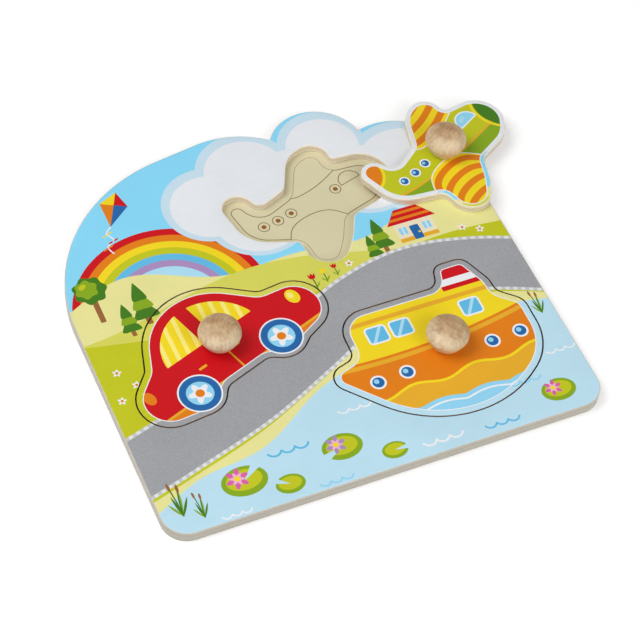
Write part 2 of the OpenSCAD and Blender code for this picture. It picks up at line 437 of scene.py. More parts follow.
def lily(turn, ink):
    """Lily pad: an oval leaf with a slit, and a flower on it if it has an ink."""
    slit = turned(np.array([(0, 0), (1.15, -0.24), (1.15, 0.24)]), turn)
    layers = areas(("grass", oval(0, 0, 1, 0.72)), ("hill", oval(0, 0.06, 0.78, 0.5)), ("lake", slit))
    if ink:
        heart = (-0.25, 0.2)
        layers += areas(
            (ink, flower(*heart, 0.52, 6, 0.32, 15)),
            ("rose", flower(*heart, 0.32, 6, 0.3, 45)),
            ("yellow", disc(*heart, 0.13)),
        )
    return layers


def kite(turn):
    """Kite: four panels that meet at the crossing of its sticks, and a wavy tail with three bows."""
    corners = np.array([(0, 0.6), (0.42, 0.1), (0, -0.75), (-0.42, 0.1), (0, 0.1)])
    top, right, bottom, left, middle = turned(corners, turn)
    tail = through(bottom + [(0, 0), (-0.2, -0.2), (-0.08, -0.5), (-0.33, -0.7), (-0.25, -1)])
    panels = {"red": (right, top), "yellow": (top, left), "orange": (left, bottom), "blue": (bottom, right)}
    layers = areas(*((ink, np.array([middle, *ends])) for ink, ends in panels.items()))
    layers += areas(("white", ribbon(tail, 0.04)))
    for ink, knot in zip(("yellow", "red", "orange"), tail[14::12]):
        layers += areas(*((ink, leaf(*knot, 0.19, 0.06, lean)) for lean in (20, 200)))
    return layers


def house():
    """House: a wall, a striped roof, a door and two windows with a bar."""
    def course(low, high, bottom, top):
        """Band of the roof: half widths at its two levels."""
        return np.array([(-low, bottom), (low, bottom), (high, top), (-high, top)])
    layers = areas(
        ("cream", block(0, 0.31, 1, 0.62, 0.02)),
        ("amber", block(0, 0.06, 1, 0.12, 0.01)),
        ("red", course(0.64, 0.3, 0.58, 1.02)),
        ("orange", course(0.55, 0.49, 0.68, 0.76)),
        ("orange", course(0.41, 0.35, 0.86, 0.94)),
        ("blue", block(-0.02, 0.22, 0.24, 0.44, 0.04)),
        ("yellow", disc(0.05, 0.2, 0.03)),
    )
    for x in (-0.32, 0.31):
        layers += areas(
            ("wave", block(x, 0.34, 0.2, 0.22, 0.015)), ("white", block(x, 0.34, 0.03, 0.22, 0.004)),
        )
    return layers


def reeds():
    """Clump of reeds: four blades, and two stalks with brown heads."""
    blades = ((62, 0.8, "pine"), (80, 1, "grass"), (100, 0.9, "pine"), (120, 0.7, "grass"))
    layers = areas(*((ink, leaf(0, 0, long, 0.09, turn)) for turn, long, ink in blades))
    for lean, tall in ((0.16, 1.1), (-0.1, 1.25)):
        stalk = through([(0, 0), (lean / 3, tall / 2), (lean, tall)])
        layers += areas(("pine", ribbon(stalk, 0.05)), ("brown", oval(lean, tall, 0.055, 0.17, -30 * lean)))
    return layers


def ripple(ink):
    """Three small crests side by side, each a band along the lower part of a circle."""
    return areas(*((ink, ribbon(arc(x, 0, 0.55, 200, 340, 14), 0.16)) for x in (-1, 0, 1)))


def kerb_stones():
    """Darker stones in the lane's pale edging: every second stretch of a band beside the lane."""
    layers = []
    for side in (-1, 1):
        edge = beside(LANE, side * (LANE_WIDTH + KERB_WIDTH) / 2)
        way = np.concatenate([[0], np.cumsum(np.linalg.norm(np.diff(edge, axis=0), axis=1))])
        cuts = np.linspace(0, way[-1], 2 * KERB_STONES + 1)
        for start, end in zip(cuts[:-1:2], cuts[1::2]):
            along = np.linspace(start, end, 5)
            stone = np.column_stack([np.interp(along, way, axis) for axis in edge.T])
            layers += areas(("stone", ribbon(stone, KERB_WIDTH)))
    return layers


def board_picture():
    """Layers of the board's print, from the sky up to the flowers. Hill crests are sums of sines."""
    def ground(ink, way, crest):
        """Area below a crest, down to the foot of the sheet."""
        return areas((ink, under(np.column_stack([way, crest]), -SHEET / 2)))
    x = np.linspace(-150, 150, 90)
    lane_x, lane_y = LANE.T
    edge = lane_y - LANE_WIDTH / 2
    stripes = [RAINBOW_RADIUS - k * RAINBOW_STRIPE for k in range(len(RAINBOW))]
    return [
        *areas(("sky", block(0, 0, SHEET, SHEET))),
        *areas(*((ink, disc(*RAINBOW_PLACE, r, 90)) for ink, r in zip(RAINBOW, stripes))),
        *areas(*(("cloud_shade", disc(*puff)) for puff in CLOUD_PUFFS)),
        *areas(*(("cloud", disc(px, py - CLOUD_RIM / 3, r - CLOUD_RIM)) for px, py, r in CLOUD_PUFFS)),
        *ground("far_hill", x, 34 + 9 * np.sin((x + 150) / 34) + 5 * np.sin((x + 20) / 17)),
        *motifs(round_tree, TREES),
        *ground("mid_hill", x, 18 + 11 * np.cos((x + 20) / 40)),
        *motifs(pine_tree, PINES),
        *motifs(house, HOUSES),
        *ground("hill", x, 2 + 10 * np.sin((x - 30) / 48)),
        *motifs(daisy, DAISIES),
        *ground("far_hill", lane_x, edge - 5),
        *ground("lake", lane_x, edge - 11.5 - 3 * np.sin(lane_x / 14)),
        *areas(("kerb", ribbon(LANE, LANE_WIDTH + 2 * KERB_WIDTH))),
        *kerb_stones(),
        *areas(("lane", ribbon(LANE, LANE_WIDTH))),
        *motifs(kite, KITES),
        *motifs(ripple, RIPPLES),
        *motifs(lily, LILIES),
        *motifs(tulip, TULIPS),
        *motifs(reeds, REEDS),
    ]


def figure(edge, margin, ink):
    """Start of a piece's figure: its outline inside the margin, its first layers, which are the white key
    line and the figure in its main ink, and a maker of layers that are trimmed to it."""
    body = grown(edge, -mm(margin))
    layers = areas(("white", grown(body, mm("key_line"))), (ink, body))
    return body, layers, functools.partial(areas, within=(body,))


def car_picture(edge):
    """Layers of the car about its knob, then the outlines and the discs that are drawn in its cut-out."""
    _, layers, inside = figure(edge, "margin", "red")
    cab, sill = (-2.3, -0.6, 34), 6
    front = np.concatenate([[(2.4, sill), (30.6, sill)], arc(*cab, 14, 82, 30)])
    rear = np.concatenate([arc(*cab, 98, 166, 30), [(-35.3, sill), (-7, sill)]])
    wheels = [(-32.8, -20, 12.6), (32.4, -20, 12.6)]
    layers += inside(("orange", block(0, -34, 150, 22)))
    for window in (front, rear):
        layers += inside(("yellow", window))
        for glint in window[:, 0].mean() + 7.5 * np.arange(-2, 3):
            band = np.array([(-6, 0), (-3.2, 0), (10.8, 40), (8, 40)]) + (glint, 0)
            layers += areas(("lemon", band), within=(window,))
    layers += inside(("amber", block(0, -22.8, 136, 1.6)), ("amber", block(0.6, -11, 1.1, 26)))
    layers += areas(*(("amber", block(x, -7, 6, 1.7, 0.8)) for x in (7, -19)))
    for x, y, r in wheels:
        layers += discs(x, y, white=r + 1, blue=r, wave=8.4)
        layers += areas(("white", flower(x, y, 7.4, 5, 0.3, 18))) + discs(x, y, orange=2.8)
    layers += inside(
        ("yellow", oval(58, -2, 4.2, 5.6)),
        ("lemon", oval(57.4, -0.6, 1.9, 2.6)),
        ("orange", oval(-58, -4, 3.4, 5)),
    )
    return layers, [front, rear], [*wheels, (57.5, -2, 4.2)]


def boat_picture(edge):
    """The same for the boat."""
    _, layers, inside = figure(edge, "margin", "yellow")
    x, keel = np.linspace(-80, 70, 60), -70
    sheer = np.column_stack([x, 5.5 + 0.0012 * (x + 10) ** 2 + 0.055 * x])
    boot_top = np.column_stack([x, -21 + 0.05 * x + 2.2 * np.sin(x / 6.5)])
    water = np.column_stack([x, -37.5 + 2.6 * np.abs(np.sin(x / 9.2 + 0.5))])
    hull = under(sheer, keel)
    windows = [block(middle, 21, 12, 11, 1.8) for middle in (-36, -20, 27)]
    portholes = [(middle, -9 + 0.055 * middle, 5) for middle in (-50, -30.5, 28, 47.5)]
    layers += inside(
        ("red", block(30, 50, 28, 26)),
        ("white", block(30, 43, 28, 5)),
        ("amber", block(0, 31.4, 150, 3.2)),
    )
    for window in windows:
        left, right = window[:, 0].min(), window[:, 0].max()
        glint = np.array([(left + 1, 15.5), (left + 3.4, 15.5), (right - 1, 26.5), (right - 3.4, 26.5)])
        layers += inside(("white", grown(window, 1.2)), ("deep", window))
        layers += areas(("haze", glint), within=(window,))
    layers += inside(
        ("orange", hull),
        ("amber", ribbon(sheer - (0, 3.4), 3)),
        ("amber", under(boot_top, keel)),
        ("yellow", ribbon(boot_top, 1.8)),
    )
    for middle, level, r in portholes:
        layers += discs(middle, level, white=r, blue=r - 1.3) + discs(middle - 0.8, level + 0.9, wave=1.7)
    layers += inside(("wave", under(water, keel)), ("white", ribbon(water - (0, 3.4), 1.2)))
    return layers, [hull, *windows], portholes


def airplane_picture(edge):
    """The same for the airplane."""
    body, layers, inside = figure(edge, "airplane_margin", "hill")
    far_root = through([(-14, 14.5), (-8, 11), (4, 11.6), (16, 14.6), (31, 20.5)])
    near_root = through([(-32, -22), (-23, -9.5), (-8, -5.5), (6, -8.5), (17, -21)])
    far_wing = np.concatenate([far_root, [(40, 60), (-30, 60)]])
    near_wing = np.concatenate([near_root[::-1], [(-40, -60), (25, -60)]])
    belly = through([(-60, -4), (-30, -9), (10, -8), (60, -3)])
    windows = [(-38, 0.5, 3.6), (-27.5, 0.5, 3.6), (-17, 1.5, 3.6), (18.5, 4.5, 3.6)]
    canopy = np.concatenate([arc(31, 6.5, 7.5, 6, 174, 24), [(23.8, 5), (38.2, 6.6)]])
    layers += inside(
        ("grass", under(belly, -60)),
        ("amber", ribbon(belly, 1.4)),
        ("pine", disc(63, 2, 22)),
        ("yellow", ribbon(arc(63, 2, 23.5, 110, 250), 1.8)),
        ("orange", disc(-57, 24, 16)),
        ("yellow", ribbon(arc(-57, 24, 17.2, -120, 60), 1.8)),
    )
    for wing, root, outwards in ((far_wing, far_root, 1), (near_wing, near_root, -1)):
        stripes = [root + (0, outwards * (5.5 + 9.5 * k)) for k in range(4)]
        layers += inside(("yellow", wing))
        layers += areas(*(("orange", ribbon(stripe, 4.6)) for stripe in stripes), within=(wing, body))
        layers += inside(("white", ribbon(root, 0.7)))
    for x, y, r in windows:
        layers += discs(x, y, white=r, blue=r - 1) + discs(x - 0.6, y + 0.7, wave=1.1)
    layers += areas(("white", grown(canopy, 1)), ("wave", canopy), ("haze", oval(29, 9.8, 3.2, 1.4, 30)))
    return layers, [far_wing, near_wing, canopy], windows


PICTURES = {"car": car_picture, "boat": boat_picture, "airplane": airplane_picture}


def line_drawing(edge, parts, rounds):
    """Drawing on the bare floor of a cut-out. Each outline is laid in line ink and filled with bare floor
    again. The figure's outline trims the others, and a round part has a dark heart."""
    half = mm("drawn_line") / 2

    def drawn(part, within=()):
        """A part moved out by half a line, with the same part moved in by half a line on it."""
        return areas(("line", grown(part, half)), ("floor", grown(part, -half)), within=within)
    body = grown(edge, -mm("drawing_margin"))
    layers = drawn(body)
    for part in map(anticlockwise, parts):
        layers += drawn(part, (body,))
    for x, y, r in rounds:
        layers += discs(x, y, line=r + half, floor=r - half, mark=min(0.45 * r, 2.6))
    return layers


# Outlines and places of the frame's own solids, in millimetres

def plan_outlines(solid):
    """Outlines of a CAD node's flat top: the chained edges that only one of its triangles has. The widest
    outline comes first, and holes follow."""
    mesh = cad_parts[solid].data
    mesh.calc_loop_triangles()
    points = np.empty(3 * len(mesh.vertices))
    mesh.vertices.foreach_get("co", points)
    corners = np.empty(3 * len(mesh.loop_triangles), int)
    mesh.loop_triangles.foreach_get("vertices", corners)
    points = np.round(points.reshape(-1, 3) / MM, decimals=4)
    points, merged = np.unique(points, axis=0, return_inverse=True)
    triangles = merged.reshape(-1)[corners.reshape(-1, 3)]
    top = np.isclose(points[triangles, 2], points[:, 2].max(), atol=MERGE).all(1)
    follows = dict(open_edges(triangles[top])[0].tolist())
    outlines = []
    while follows:
        start, ahead = follows.popitem()
        chain = [start]
        while ahead != start:
            chain.append(ahead)
            ahead = follows.pop(ahead)
        outlines.append(points[chain, :2])
    return sorted(outlines, key=lambda outline: -np.ptp(outline, 0).max())


def open_edges(triangles):
    """Directed edges of triangles that no neighbour runs the other way, and the triangles they bound."""
    edges = triangles[:, [0, 1, 1, 2, 2, 0]].reshape(-1, 2)
    span = triangles.max() + 1
    lone = ~np.isin(edges @ [span, 1], edges @ [1, span])
    return edges[lone], np.nonzero(lone)[0] // 3


def levels(solid):
    """Bottom and top of a CAD node."""
    low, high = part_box(solid)
    return low.z / MM, high.z / MM


def knob_axis(vehicle):
    """Where a vehicle's knob stands, in plan."""
    low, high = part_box(f"{vehicle}_knob")
    return np.array(low + high)[:2] / 2 / MM


def tilt(vehicle):
    """Slope of a vehicle's cut-out, in degrees."""
    return math.degrees(getattr(sizes(), f"{vehicle}_tilt"))


def rest_tilt(vehicle):
    """Slope of a vehicle at rest, in degrees: the airplane lies loose, at a further turn."""
    return tilt(vehicle) + (math.degrees(sizes().airplane_turn) if vehicle == "airplane" else 0)


def piece_edge(vehicle):
    """A vehicle piece's outline about its knob, before its tilt."""
    outline = plan_outlines(f"{vehicle}_piece")[0]
    return turned(outline - knob_axis(vehicle), -rest_tilt(vehicle))


def cutout_place(vehicle):
    """Where the knob stands when the piece is in its cut-out. The loose airplane's cut-out is the one
    farthest from the other knobs. Drawn in by the fit gap it is the piece's outline, so the two middles
    give the place."""
    if vehicle != "airplane":
        return knob_axis(vehicle)
    middle = turned(plan_middle(piece_edge(vehicle))[None], tilt(vehicle))[0]
    cutouts = [grown(hole, mm("fit_gap")) for hole in plan_outlines("front_board")[1:]]
    places = np.array([plan_middle(cutout) - middle for cutout in cutouts])
    others = np.array([knob_axis(name) for name in VEHICLES if name != vehicle])
    return places[np.linalg.norm(places[:, None] - others, axis=2).min(1).argmax()]


def reaches(outline, edge):
    """True if the boxes of two outlines overlap."""
    return bool((outline.min(0) <= edge.max(0)).all() and (outline.max(0) >= edge.min(0)).all())


# Meshes

def flat_map(outline, holes, layers):
    """Flat print as triangles. All the outlines become edges of one Delaunay triangulation, and a triangle
    takes the topmost layer that holds it, inside the outline and outside the holes. Returns the points, the
    triangles and the number of each triangle's layer."""
    given = (outline, *holes, *(loop for layer in layers for loop in loops_of(layer)))
    unique = {id(loop): loop for loop in given}
    seat = {key: k for k, key in enumerate(unique)}
    loops = [anticlockwise(loop) for loop in unique.values()]
    ends = np.cumsum([len(loop) for loop in loops])
    polygons = [list(range(end - len(loop), end)) for loop, end in zip(loops, ends)]
    points = list(map(Vector, np.concatenate(loops).tolist()))
    points, _, faces, _, _, sources = delaunay_2d_cdt(points, [], polygons, 1, MERGE)
    held = np.zeros((len(faces), len(loops)), bool)
    face = np.repeat(np.arange(len(faces)), list(map(len, sources)))
    held[face, np.concatenate(sources).astype(int)] = True
    topmost = np.zeros(len(faces), int)
    for k, layer in enumerate(layers):
        topmost[held[:, [seat[id(loop)] for loop in loops_of(layer)]].all(1)] = k
    kept = held[:, 0] & ~held[:, 1:1 + len(holes)].any(1)
    used, triangles = np.unique(np.array(faces)[kept], return_inverse=True)
    return np.array([point[:] for point in points])[used], triangles.reshape(-1, 3), topmost[kept]


def off_line(points, outline):
    """Distance of points from an outline: the least, over its edges, to the nearest point of the edge."""
    step = np.roll(outline, -1, 0) - outline
    gap = points[:, None] - outline
    along = ((gap * step).sum(2) / (step**2).sum(1)).clip(0, 1)
    return np.linalg.norm(gap - along[..., None] * step, axis=2).min(1)


def filled(name, vertices, faces, smooth):
    """Mesh in metres from vertices in millimetres, with a flag for each smooth face."""
    mesh = bpy.data.meshes.new(name)
    mesh.from_pydata((vertices * MM).tolist(), [], faces)
    mesh.polygons.foreach_set("use_smooth", smooth)
    mesh.set_sharp_from_angle(angle=SHARP)
    mesh.update()
    return mesh


def slab(name, solid, layers, walls, holes=None, ease_top=True, ease_bottom=True):
    """A sawn slab with a printed face. The print fills the outline drawn in by the eased edge, and the rim
    is a profile carried along it: a quarter of a circle, the wall and, below, another quarter of a circle.
    Walls gives the material of the outline's edge and of each hole's. The print runs halfway over the lips
    of a narrow saw line, whose walls carry painted shade, and other lips are bare. Each point keeps its
    share of the height, and each face of a wall how far it looks along X, which steers that painted shade."""
    bottom, top = levels(solid)
    outline, *cuts = plan_outlines(solid)
    eases = np.array([mm("kerf_ease" if wall == SHADED_SAW_LINE else "ease") for wall in walls])
    loops = zip([outline, *(cuts if holes is None else holes)], eases)
    outline, *cuts = [grown(loop, -ease * ease_top) for loop, ease in loops]
    points, triangles, topmost = flat_map(outline, cuts, layers)
    edges, owner = open_edges(triangles)
    wall = np.argmin([off_line(points[edges].mean(1), loop) for loop in (outline, *cuts)], 0)
    rim, seat = np.unique(edges, return_inverse=True)
    start, end = seat.reshape(-1, 2).T
    ahead, behind = np.zeros((2, len(rim), 2))
    normal = right_of(points[edges[:, 1]] - points[edges[:, 0]])
    ahead[start] = behind[end] = normal
    ease = np.zeros((1, len(rim)))
    ease[0, start] = eases[wall]
    inset, even = ease * ease_top, 0 * ease
    bend = np.radians(np.linspace(0, 90, LIP_RINGS))[:, None]
    curve, drop = ease * np.sin(bend), ease * (1 - np.cos(bend))
    upper, lower = (even, even + top), (inset, even + bottom)
    if ease_top:
        upper = (curve, top - drop)
    if ease_bottom:
        lower = ((inset - ease + curve)[::-1], (bottom + drop)[::-1])
    reach, height = np.concatenate([upper, lower], 1)[..., None]
    rings = np.concatenate([points[rim] + reach * mitre(ahead, behind), height], 2)
    below = points.copy()
    below[rim] = rings[-1, :, :2]
    flats = [np.column_stack([flat, np.full(len(flat), z)]) for flat, z in ((points, top), (below, bottom))]
    vertices = np.concatenate([*flats, rings.reshape(-1, 3)])
    bands = len(rings) - 1
    first = 2 * len(points) + len(rim) * np.arange(bands)[:, None]
    a, b = first + start, first + end
    quads = np.stack([a, a + len(rim), b + len(rim), b], 2).reshape(-1, 4)
    vertices, merged = np.unique(np.round(vertices, decimals=5), axis=0, return_inverse=True)
    merged = merged.reshape(-1)
    faces = [merged[triangles], merged[triangles[:, ::-1] + len(points)], merged[quads]]
    counts = list(map(len, faces))
    faces = sum((part.tolist() for part in faces), [])
    mesh = filled(name, vertices, faces, np.repeat([False, False, True], counts))
    side = np.tile(np.array(walls)[wall], (bands, 1))
    side[:LIP_RINGS // 2, side[0] == SHADED_SAW_LINE] = PRINT
    finish = np.concatenate([np.repeat([PRINT, UNDERSIDE], counts[:2]), side.ravel()])
    mesh.polygons.foreach_set("material_index", finish)
    inks = bpy.context.scene.puzzle_inks
    palette = np.array([[*getattr(inks, layer.ink), layer.ink == "lane"] for layer in layers])
    inked = palette[np.concatenate([topmost, topmost, np.tile(topmost[owner], bands)])]
    mesh.attributes.new("ink", "FLOAT_COLOR", "FACE").data.foreach_set("color", inked.astype("f").ravel())
    share = (vertices[:, 2] - bottom) / (top - bottom)
    mesh.attributes.new("ply", "FLOAT", "POINT").data.foreach_set("value", share.astype("f"))
    across = np.concatenate([np.zeros(sum(counts[:2])), np.tile(np.abs(normal[:, 0]), bands)])
    mesh.attributes.new("across", "FLOAT", "FACE").data.foreach_set("value", across.astype("f"))
    return mesh


def lathe(name, profile, middle, base, sides=72):
    """Turned piece: a half profile of (radius, height) carried round an upright axis at the middle. Its
    first and last points lie on the axis, and close it."""
    radius, height = profile[1:-1].T[..., None]
    t = round_angles(sides)
    across, along = middle[0] + radius * np.cos(t), middle[1] + radius * np.sin(t)
    rings = np.stack(np.broadcast_arrays(across, along, base + height), 2)
    poles = [[*middle, base + profile[k, 1]] for k in (0, -1)]
    vertices = np.concatenate([rings.reshape(-1, 3), poles])
    k = np.arange(sides)
    after = (k + 1) % sides
    row = sides * np.arange(len(rings) - 1)[:, None]
    quads = np.stack([row + k, row + after, row + sides + after, row + sides + k], 2).reshape(-1, 4)
    last, foot = sides * (len(rings) - 1), sides * len(rings)
    fans = [(after, k, 0 * k + foot), (last + k, last + after, 0 * k + foot + 1)]
    fans = np.concatenate([np.column_stack(fan) for fan in fans])
    return filled(name, vertices, quads.tolist() + fans.tolist(), np.ones(len(quads) + len(fans), bool))


def knob_profile(wide, high):
    """Half profile of a knob, from the middle of its foot to its crown. Up to the belly the radius follows
    a superellipse of the lower fullness, and above it one of the upper fullness."""
    lower, upper = sizes().lower_fullness, 2 / sizes().upper_fullness
    foot, belly, level = mm("foot") / 2, wide / 2, mm("belly")
    low = np.linspace(0, 1, LOWER_RINGS)
    swell = foot + (belly - foot) * (1 - (1 - low) ** lower) ** (1 / lower)
    t = np.radians(np.linspace(0, 90, UPPER_RINGS))[1:]
    dome = belly * np.cos(t).clip(0) ** upper, level + (high - level) * np.sin(t) ** upper
    profile = np.concatenate([[(0, 0)], np.column_stack([swell, level * low]), np.column_stack(dome)])
    profile[-1, 0] = 0
    return profile


def into_scene(name, data):
    """New object in the scene, at the origin."""
    made = bpy.data.objects.new(name, data)
    bpy.context.scene.collection.objects.link(made)
    return made


def show(name, mesh, body, solid, materials):
    """Puts a mesh into the scene as a piece that rides on a body, stands for a CAD node and has a slot."""
    piece = into_scene(name, mesh)
    for material in materials:
        mesh.materials.append(material)
    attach(piece, body)
    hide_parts(solid)


# Materials

WHITE = (1, 1, 1, 1)


def feed(tree, sockets, values):
    """Gives sockets their values, in pairs. A value that is a socket is linked."""
    for socket, value in values:
        if isinstance(value, bpy.types.NodeSocket):
            tree.links.new(value, sockets[socket])
        else:
            sockets[socket].default_value = value


def node(tree, kind, inputs=(), **settings):
    """Adds a shader node with its settings and inputs."""
    made = tree.nodes.new(f"ShaderNode{kind}")
    for setting, value in settings.items():
        setattr(made, setting, value)
    feed(tree, made.inputs, inputs)
    return made


def opaque(rgb):
    """Colour with a full alpha."""
    return (*rgb, 1)


def mixed(tree, factor, a, b, blend="MIX"):
    """Colour between a and b."""
    return node(tree, "Mix", [(0, factor), (6, a), (7, b)], data_type="RGBA", blend_type=blend).outputs[2]


def sums(tree, operation, total, *values):
    """Result of a math operation on numbers and sockets, taken one after the other."""
    for value in values:
        total = node(tree, "Math", [(0, total), (1, value)], operation=operation).outputs[0]
    return total


def about(tree, value, middle, weight):
    """How far a value is above its middle, times a weight."""
    return sums(tree, "MULTIPLY", sums(tree, "SUBTRACT", value, middle), weight)


def between(tree, factor, low, high):
    """Number between low and high."""
    return node(tree, "MapRange", [(0, factor), (3, low), (4, high)]).outputs[0]


def axis_of(tree, vector, axis):
    """One axis of a vector."""
    return node(tree, "SeparateXYZ", [(0, vector)]).outputs[axis]


def mapped(tree, vector, **settings):
    """Position moved, turned or stretched."""
    return node(tree, "Mapping", [("Vector", vector), *settings.items()]).outputs[0]


def noise(tree, vector, scale, detail, roughness=0.5):
    """Noise from nought to one at a position. Three scales draw it out along the axes."""
    if isinstance(scale, tuple):
        vector, scale = mapped(tree, vector, Scale=scale), 1.0
    return node(tree, "TexNoise", [
        ("Vector", vector), ("Scale", scale), ("Detail", detail), ("Roughness", roughness),
    ]).outputs[0]


def ramp(tree, factor, *stops):
    """Grey ramp. A stop is its position and its brightness."""
    made = node(tree, "ValToRGB", [(0, factor)])
    points = made.color_ramp.elements
    while len(points) < len(stops):
        points.new(0.5)
    for point, (position, value) in zip(points, stops):
        point.position = position
        point.color = opaque([value] * 3)
    return made.outputs[0]


def dappled(tree, amount, tone, pattern, *stops):
    """Tone darkened and lightened by a pattern's ramp."""
    return mixed(tree, amount, tone, ramp(tree, pattern, *stops), "MULTIPLY")


def effect(name, **kinds):
    """Turns a function that draws an effect into one that places it in a material with its own values. The
    effect is a shader node group, built once, with inputs of these kinds, a colour and a height."""
    def build(draw):
        inner = bpy.data.node_groups.new(name, "ShaderNodeTree")
        rows = [("INPUT", *row) for row in kinds.items()]
        for way, label, kind in (*rows, ("OUTPUT", "Color", "Color"), ("OUTPUT", "Height", "Float")):
            inner.interface.new_socket(label, in_out=way, socket_type=f"NodeSocket{kind}")
        drawn = draw(inner, inner.nodes.new("NodeGroupInput").outputs)
        feed(inner, inner.nodes.new("NodeGroupOutput").inputs, enumerate(drawn))
        return inner

    def wrap(draw):
        def place(tree, **values):
            inner = bpy.data.node_groups.get(name) or build(draw)
            return node(tree, "Group", values.items(), node_tree=inner).outputs
        return functools.update_wrapper(place, draw)
    return wrap


@effect("Wood grain", Vector="Vector", Light="Color", Dark="Color", Rings="Float")
def wood_grain(tree, given):
    """Grain of sawn or turned wood. Growth rings are waves round the X axis that fade in and out, fibres and
    flecks are noise drawn out along it, and clouds are wide patches. Rings is the strength of the rings."""
    place = given["Vector"]
    rings = node(tree, "TexWave", [
        ("Vector", place), ("Scale", 120.0), ("Distortion", 5.0), ("Detail", 2.0), ("Detail Scale", 0.8),
    ], wave_type="RINGS", rings_direction="X", wave_profile="SAW").outputs["Fac"]
    shown = ramp(tree, noise(tree, place, (60, 130, 130), 2.0), (0.36, 0), (0.66, 1))
    late = sums(tree, "MULTIPLY", sums(tree, "POWER", rings, 2.2), shown)
    fibre = noise(tree, place, (130, 1500, 1500), 4.0, 0.65)
    flecks = ramp(tree, noise(tree, place, (420, 1900, 1900), 2.0), (0.56, 0), (0.7, 1))
    clouds = noise(tree, place, (90, 190, 190), 4.0, 0.6)
    strength = sums(
        tree, "ADD", sums(tree, "MULTIPLY", late, given["Rings"]), about(tree, fibre, 0.4, 0.55),
        about(tree, clouds, 0.42, 1.1), sums(tree, "MULTIPLY", flecks, 0.3),
    )
    height = sums(tree, "SUBTRACT", fibre, sums(tree, "MULTIPLY", late, 0.4))
    return mixed(tree, strength, given["Light"], given["Dark"]), height


@effect("Sawn plies", Vector="Vector", Share="Float", Pale="Color", Dark="Color", Glue="Color")
def sawn_plies(tree, given):
    """Sawn edge of plywood: two pale plies, a dark one between them and its glue lines by the share of the
    height, a band of painted shade in the glue colour at the wall's foot, streaked along the edge and pitted
    with end grain."""
    place = given["Vector"]
    wander = about(tree, noise(tree, place, (70, 70, 200), 2.0), 0.5, 0.07)
    level = sums(tree, "ADD", given["Share"], wander)
    core = ramp(tree, level, (0.28, 0), (0.33, 1), (0.68, 1), (0.73, 0))
    # The glue colour also paints shade in a band at the foot of the wall, below a tenth of its height
    glue_and_foot_shade = ramp(
        tree, level, (0, 0.9), (0.05, 0.75), (0.1, 0), (0.27, 0), (0.305, 0.5), (0.34, 0), (0.67, 0),
        (0.705, 0.45), (0.74, 0),
    )
    streak = noise(tree, place, (110, 110, 2400), 4.0, 0.6)
    pits = noise(tree, place, 1400.0, 2.0)
    toned = mixed(tree, core, given["Pale"], given["Dark"])
    toned = mixed(tree, glue_and_foot_shade, toned, given["Glue"])
    toned = dappled(tree, 0.22, toned, streak, (0.3, 0.6), (0.68, 1.15))
    toned = dappled(tree, 0.18, toned, pits, (0.32, 0.5), (0.55, 1.05))
    return toned, sums(tree, "ADD", streak, pits)


@effect("Print on wood", Vector="Vector", Ink="Color", Tooth="Float")
def print_on_wood(tree, given):
    """Ink on a sealed veneer: fine speckle, wide blotches, a faint grain and, by the mask Tooth, a tooth."""
    place = given["Vector"]
    speckle = noise(tree, place, 2600.0, 2.0)
    veneer = noise(tree, place, (45, 1100, 1100), 3.0, 0.6)
    tooth = noise(tree, place, (700, 1500, 900), 4.0, 0.7)
    coarse = sums(tree, "MULTIPLY", given["Tooth"], 0.3)
    ink = dappled(tree, 0.08, given["Ink"], speckle, (0.3, 0.6), (0.7, 1.3))
    ink = dappled(tree, 0.03, ink, veneer, (0.35, 0.55), (0.6, 1.3))
    ink = dappled(tree, 0.06, ink, noise(tree, place, 28.0, 3.0), (0.35, 0.6), (0.65, 1.3))
    ink = dappled(tree, coarse, ink, tooth, (0.3, 0.5), (0.72, 1.45))
    return ink, sums(tree, "ADD", sums(tree, "MULTIPLY", veneer, 0.7), sums(tree, "MULTIPLY", speckle, 0.3))


def shader(name):
    """New material with a Principled shader: returns the material, its node tree and the shader."""
    material = bpy.data.materials.new(name)
    material.use_nodes = True
    return material, material.node_tree, material.node_tree.nodes["Principled BSDF"]


def finished(name, paint, depth, strength, **constants):
    """Material of a name, made once. Paint works out its colour, its height and, if it varies, its roughness
    from the position on the piece. Constants go on the shader's own sockets, with underscores for spaces."""
    if name in bpy.data.materials:
        return bpy.data.materials[name]
    material, tree, bsdf = shader(name)
    toned, height, *rough = paint(tree, node(tree, "TexCoord").outputs["Object"])
    bump = node(tree, "Bump", [("Height", height), ("Distance", depth), ("Strength", strength)]).outputs[0]
    feed(tree, bsdf.inputs, zip(("Base Color", "Normal", "Roughness"), (toned, bump, *rough)))
    feed(tree, bsdf.inputs, ((socket.replace("_", " "), value) for socket, value in constants.items()))
    return material


def printed_face():
    """Lacquered print: the mesh keeps each face's ink, and the ink's alpha is the mask of the tooth."""
    def paint(tree, place):
        ink = node(tree, "Attribute", attribute_name="ink").outputs
        return print_on_wood(tree, Vector=place, Ink=ink["Color"], Tooth=ink["Alpha"])
    return finished("Printed face", paint, depth=1e-4, strength=0.08, Roughness=0.45, Specular_IOR_Level=0.2)


def raw_veneer():
    """Bare underside of the plywood, with its grain along the board's width."""
    def paint(tree, place):
        laid = mapped(tree, place, Location=(0, 0.31, 0.06), Scale=(0.5, 0.35, 0.35))
        light, dark = opaque(woods().veneer), opaque(woods().veneer_dark)
        return wood_grain(tree, Vector=laid, Light=light, Dark=dark, Rings=0.3)
    return finished("Raw veneer", paint, depth=2e-4, strength=0.12, Roughness=0.6, Specular_IOR_Level=0.3)


